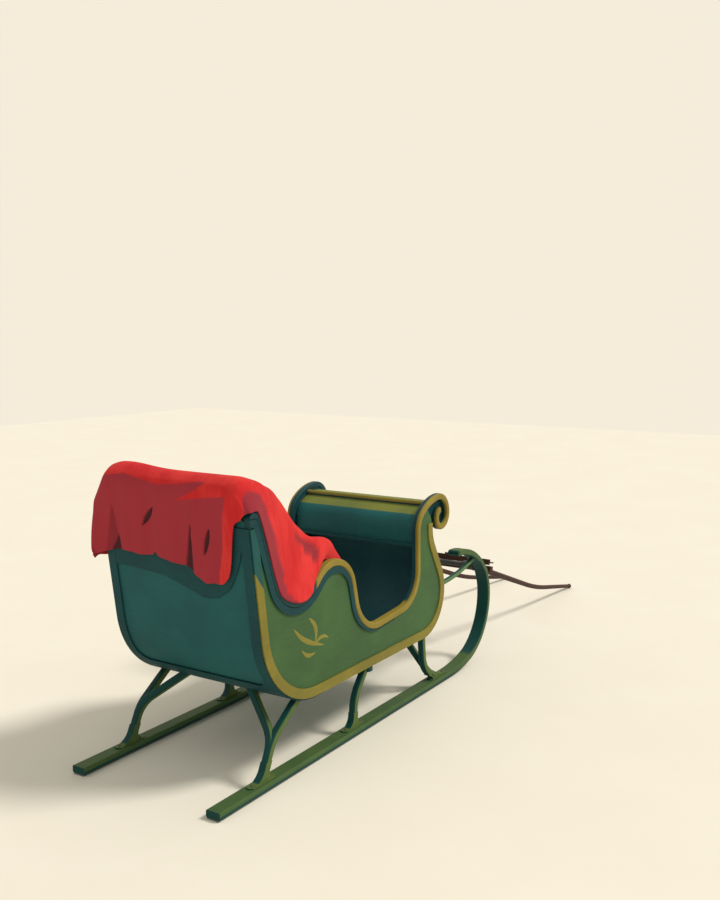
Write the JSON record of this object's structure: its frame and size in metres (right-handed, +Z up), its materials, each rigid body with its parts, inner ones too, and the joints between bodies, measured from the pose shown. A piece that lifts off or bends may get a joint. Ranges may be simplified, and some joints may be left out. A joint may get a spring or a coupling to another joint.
{
  "type": "horse drawn sleigh",
  "caption": "Horse drawn sleigh with scrolled sides, padded seat and lap robe, curled runners on bent knees, and shafts hinged to a bar between the runner curls.",
  "frame": {"origin": "on the ground under the middle of the whole length, with the shafts lowered", "axes": "+X is the way of travel, +Y is left, +Z is up"},
  "size_m": [4.4269, 0.91, 1.3813],
  "materials": {
    "green_panel": "satin",
    "gold_paint": "satin",
    "teal_panel": "satin",
    "dark_teal": "satin",
    "cove_teal": "satin",
    "runner_green": "satin",
    "knee_iron": "satin",
    "shoe_steel": "worn",
    "floor_wood": "worn",
    "seat_cloth": "buttoned",
    "robe_wool": "napped",
    "shaft_wood": "satin",
    "hitch_iron": "satin"
  },
  "bodies": {
    "sleigh": {"back_cushion": "seat_cloth", "back_frame": "dark_teal", "back_panel": "teal_panel", "bench_front": "dark_teal", "bench_middle": "dark_teal", "bench_rear": "dark_teal", "dash_panel": "teal_panel", "dash_roll": "teal_panel", "dash_shelf": "teal_panel", "floor": "floor_wood", "knee_front_left": "knee_iron", "knee_front_right": "knee_iron", "knee_middle_left": "knee_iron", "knee_middle_right": "knee_iron", "knee_rear_left": "knee_iron", "knee_rear_right": "knee_iron", "lap_robe": "robe_wool", "nose_bar": "hitch_iron", "runner_left": "runner_green", "runner_right": "runner_green", "seat_board": "dark_teal", "seat_cushion": "seat_cloth", "seat_riser": "dark_teal", "shoe_left": "shoe_steel", "shoe_right": "shoe_steel", "side_cove_left": "cove_teal", "side_cove_right": "cove_teal", "side_moulding_left": "gold_paint", "side_moulding_right": "gold_paint", "side_panel_left": "green_panel", "side_panel_right": "green_panel", "tip_brace_left": "knee_iron", "tip_brace_right": "knee_iron", "top_rail_left": "gold_paint", "top_rail_right": "gold_paint"},
    "shafts": {"shaft_left": "shaft_wood", "shaft_right": "shaft_wood", "shaft_eye_left": "hitch_iron", "shaft_eye_right": "hitch_iron", "shaft_crossbar": "shaft_wood", "singletree_pin": "hitch_iron"},
    "singletree": {"singletree": "shaft_wood", "trace_hooks": "hitch_iron"}
  },
  "joints": [
    {"name": "shafts_lift", "type": "hinge", "parent": "sleigh", "child": "shafts", "pos_m": [0.29554, 0, 0.571], "axis": [0, -1, 0], "range_deg": [0, 148]},
    {"name": "singletree_swing", "type": "hinge", "parent": "shafts", "child": "singletree", "pos_m": [0.62476, 0, 0.5212], "axis": [0.2798, 0, 0.9601], "range_deg": [-30, 30]}
  ]
}
